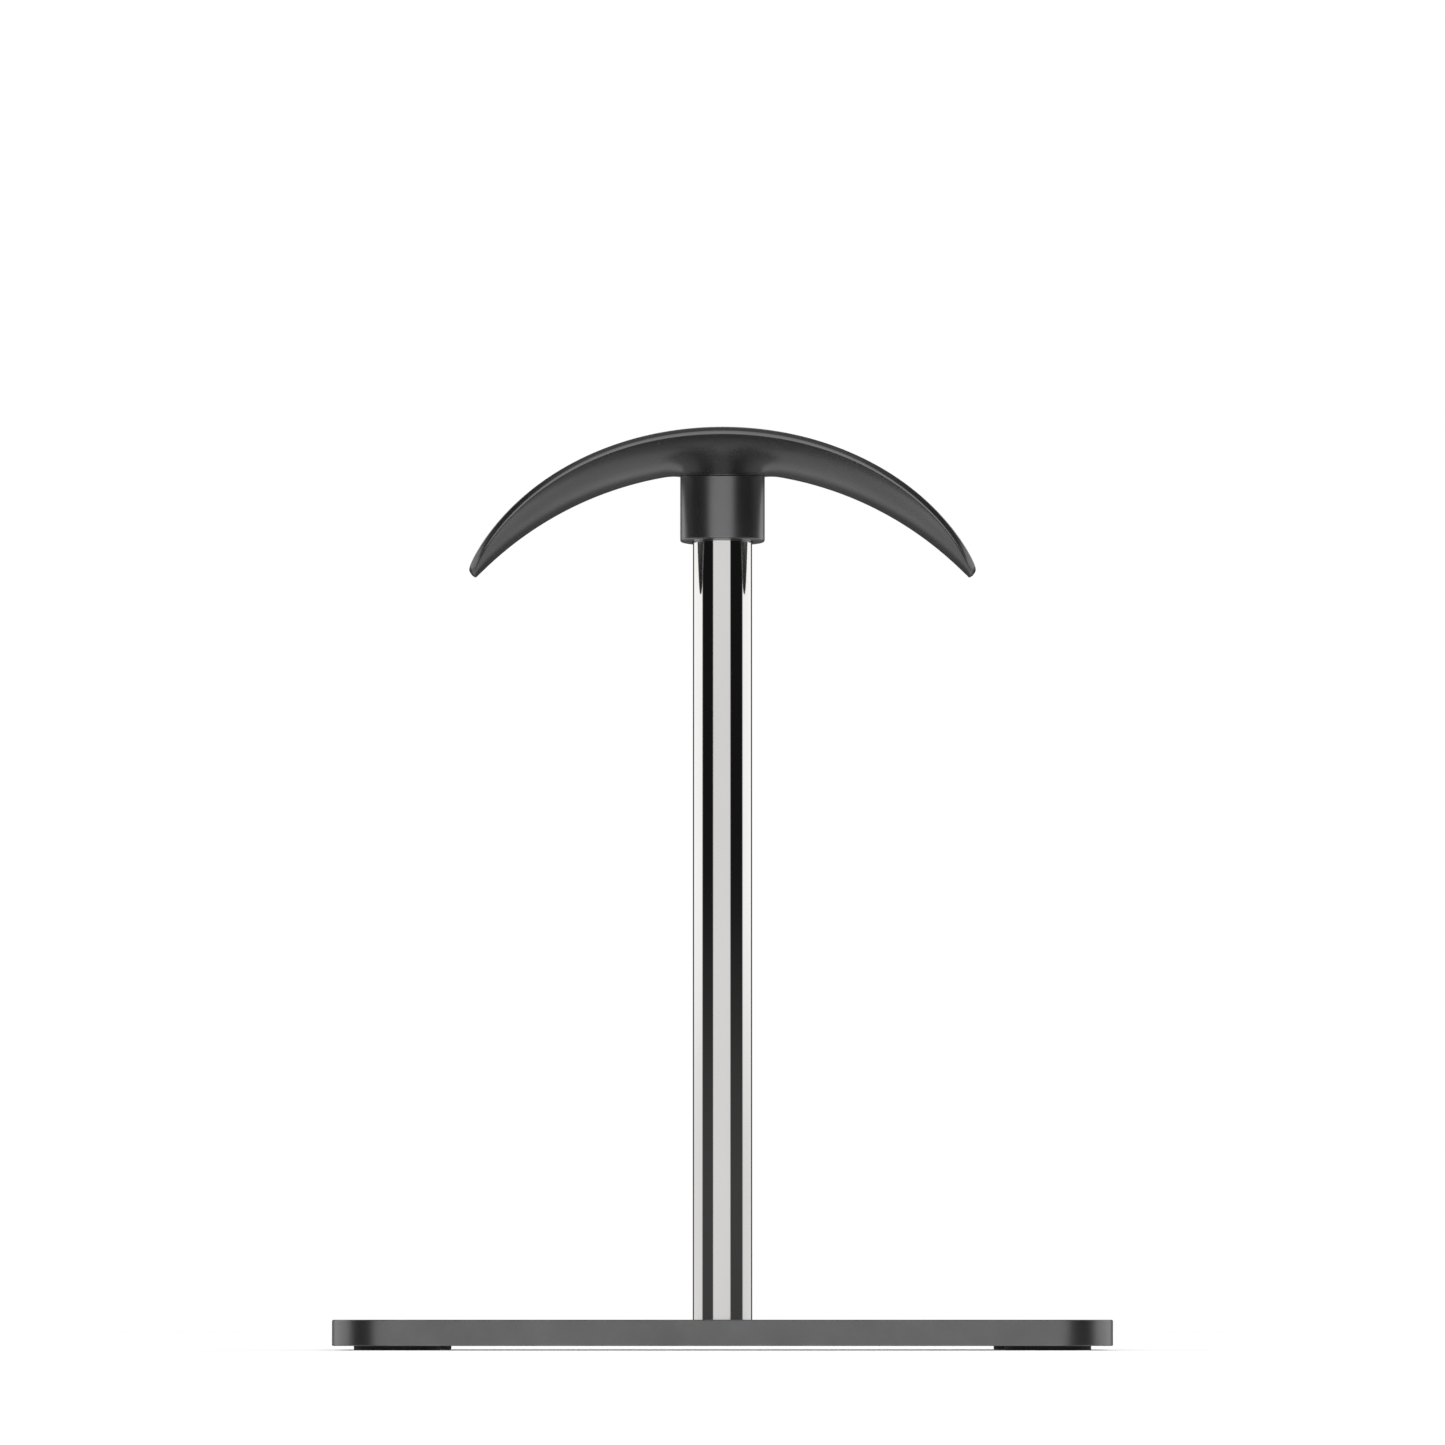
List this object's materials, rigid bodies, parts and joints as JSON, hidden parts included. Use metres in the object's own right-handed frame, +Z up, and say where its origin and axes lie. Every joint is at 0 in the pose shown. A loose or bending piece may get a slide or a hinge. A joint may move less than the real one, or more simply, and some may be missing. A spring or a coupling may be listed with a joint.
{
  "type": "headphone stand",
  "caption": "Desk headphone stand: flat rounded base on rubber feet, slim chromed pole with a short dark collar, and an arched padded cradle for the headband.",
  "frame": {"origin": "on the desk, under the middle of the base plate, on the axis of the pole", "axes": "+Z up along the pole; +X along the length of the base plate and of the cradle; +Y towards the rear, so the front edge of the plate faces -Y"},
  "size_m": [0.18, 0.11, 0.2161],
  "materials": {
    "plate_black": "satin black powder coat",
    "foot_rubber": "matt black rubber",
    "adhesive": "thin double-sided adhesive film",
    "screw_black": "blackened steel",
    "pole_chrome": "polished chrome plating",
    "plain_steel": "plain turned steel",
    "collar_black": "satin black anodised or painted metal",
    "cradle_black": "satin black painted casting",
    "screw_steel": "plain steel",
    "pad_silicone": "matt black silicone"
  },
  "bodies": {
    "root": {"base_plate": "plate_black", "foot_front_left": "foot_rubber", "foot_front_right": "foot_rubber", "foot_rear_left": "foot_rubber", "foot_rear_right": "foot_rubber", "foot_adhesive_front_left": "adhesive", "foot_adhesive_front_right": "adhesive", "foot_adhesive_rear_left": "adhesive", "foot_adhesive_rear_right": "adhesive", "base_screw": "screw_black", "pole_tube": "pole_chrome", "pole_bottom_plug": "plain_steel", "pole_top_plug": "plain_steel", "pole_stud": "plain_steel", "collar": "collar_black", "cradle_body": "cradle_black", "cradle_screw_left": "screw_steel", "cradle_screw_right": "screw_steel", "cradle_washer_left": "screw_steel", "cradle_washer_right": "screw_steel", "pad_adhesive": "adhesive", "cradle_pad": "pad_silicone"}
  },
  "joints": []
}
